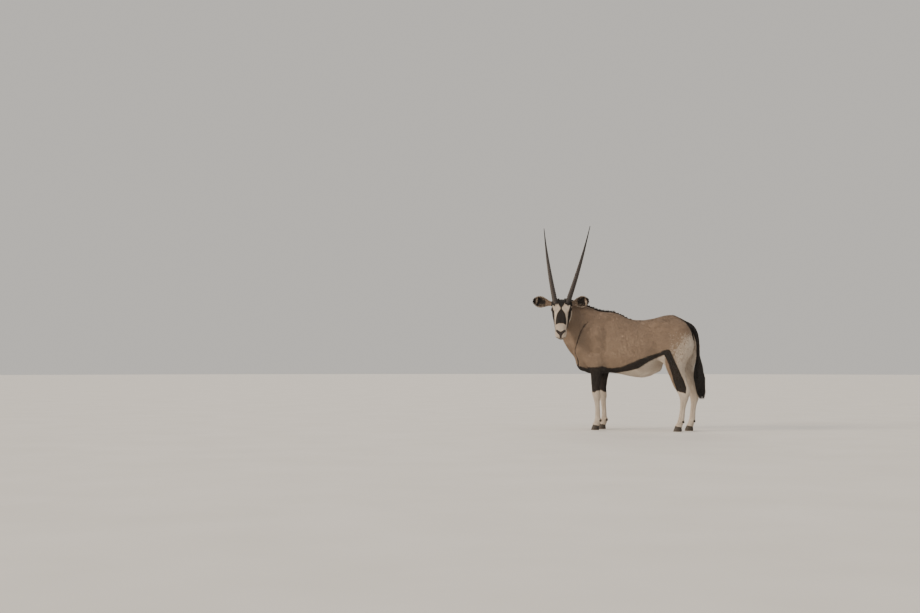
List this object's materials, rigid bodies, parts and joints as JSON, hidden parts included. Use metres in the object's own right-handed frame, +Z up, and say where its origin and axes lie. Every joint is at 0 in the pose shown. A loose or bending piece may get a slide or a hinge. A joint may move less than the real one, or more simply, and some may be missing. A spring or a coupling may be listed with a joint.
{
  "type": "gemsbok",
  "caption": "Life-size standing gemsbok with its head turned to the viewer, long ringed horns, black and white markings and a black tail tuft.",
  "frame": {"origin": "on the floor under the middle of the overall box, between the four feet's soles and level with them", "axes": "+Z up; -X towards the chest, so the animal's left side is -Y; the head is turned to face -Y"},
  "size_m": [1.7143, 0.6638, 2.0942],
  "materials": {
    "horn": "ringed keratin, satin, nearly smooth toward the tip",
    "eye": "wet, very dark brown",
    "hoof": "dull keratin",
    "tail_hair": "long coarse black hair",
    "udder_skin": "bare skin, thinly haired",
    "ear_coat": "short hair outside, dark hollow with pale hairs",
    "coat": "short flat hair, grey-fawn with black and white markings"
  },
  "bodies": {
    "root": {"trunk": "coat", "neck": "coat", "eye_l": "eye", "horn_l": "horn", "eye_r": "eye", "horn_r": "horn", "head": "coat", "ear_l": "ear_coat", "ear_r": "ear_coat", "tail": "tail_hair", "tail_tuft": "tail_hair", "udder": "udder_skin", "thigh_l": "coat", "hind_shank_l": "coat", "hind_claw_outer_l": "hoof", "hind_claw_inner_l": "hoof", "thigh_r": "coat", "hind_shank_r": "coat", "hind_claw_outer_r": "hoof", "hind_claw_inner_r": "hoof", "forearm_l": "coat", "fore_shank_l": "coat", "fore_claw_outer_l": "hoof", "fore_claw_inner_l": "hoof", "forearm_r": "coat", "fore_shank_r": "coat", "fore_claw_outer_r": "hoof", "fore_claw_inner_r": "hoof"}
  },
  "joints": []
}
